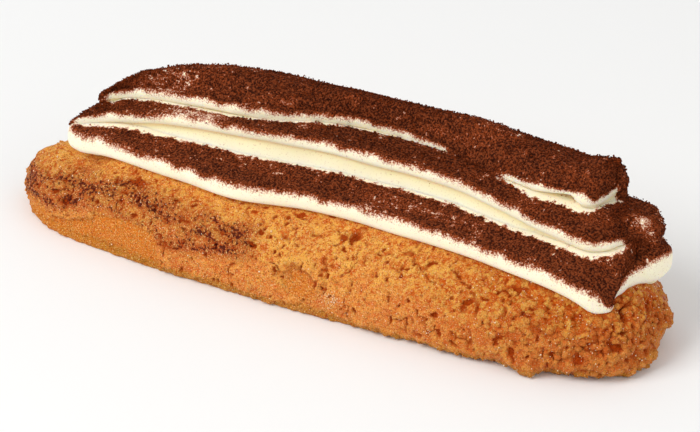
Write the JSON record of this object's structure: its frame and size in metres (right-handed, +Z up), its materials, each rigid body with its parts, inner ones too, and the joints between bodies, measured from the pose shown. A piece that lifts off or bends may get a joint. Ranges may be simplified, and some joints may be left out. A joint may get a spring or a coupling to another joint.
{
  "type": "eclair",
  "caption": "Long choux eclair with a crackled sugar crust, topped with stacked folds of piped mascarpone cream under a dusting of cocoa; an uncut single pastry.",
  "frame": {"origin": "middle of the flat underside that the eclair stands on", "axes": "+X along the eclair towards its blunter end, +Y across it towards the side that the folds lean to, +Z up"},
  "size_m": [0.1395, 0.0382, 0.0356],
  "materials": {
    "crust": "baked choux under a crackled golden-brown sugar crust",
    "cream": "piped mascarpone cream, satin, ivory",
    "cocoa": "dusted cocoa powder, matt, dark brown"
  },
  "bodies": {
    "root": {"choux_bun": "crust", "cream_lower_fold": "cream", "cream_middle_fold": "cream", "cream_upper_fold": "cream"}
  },
  "joints": []
}
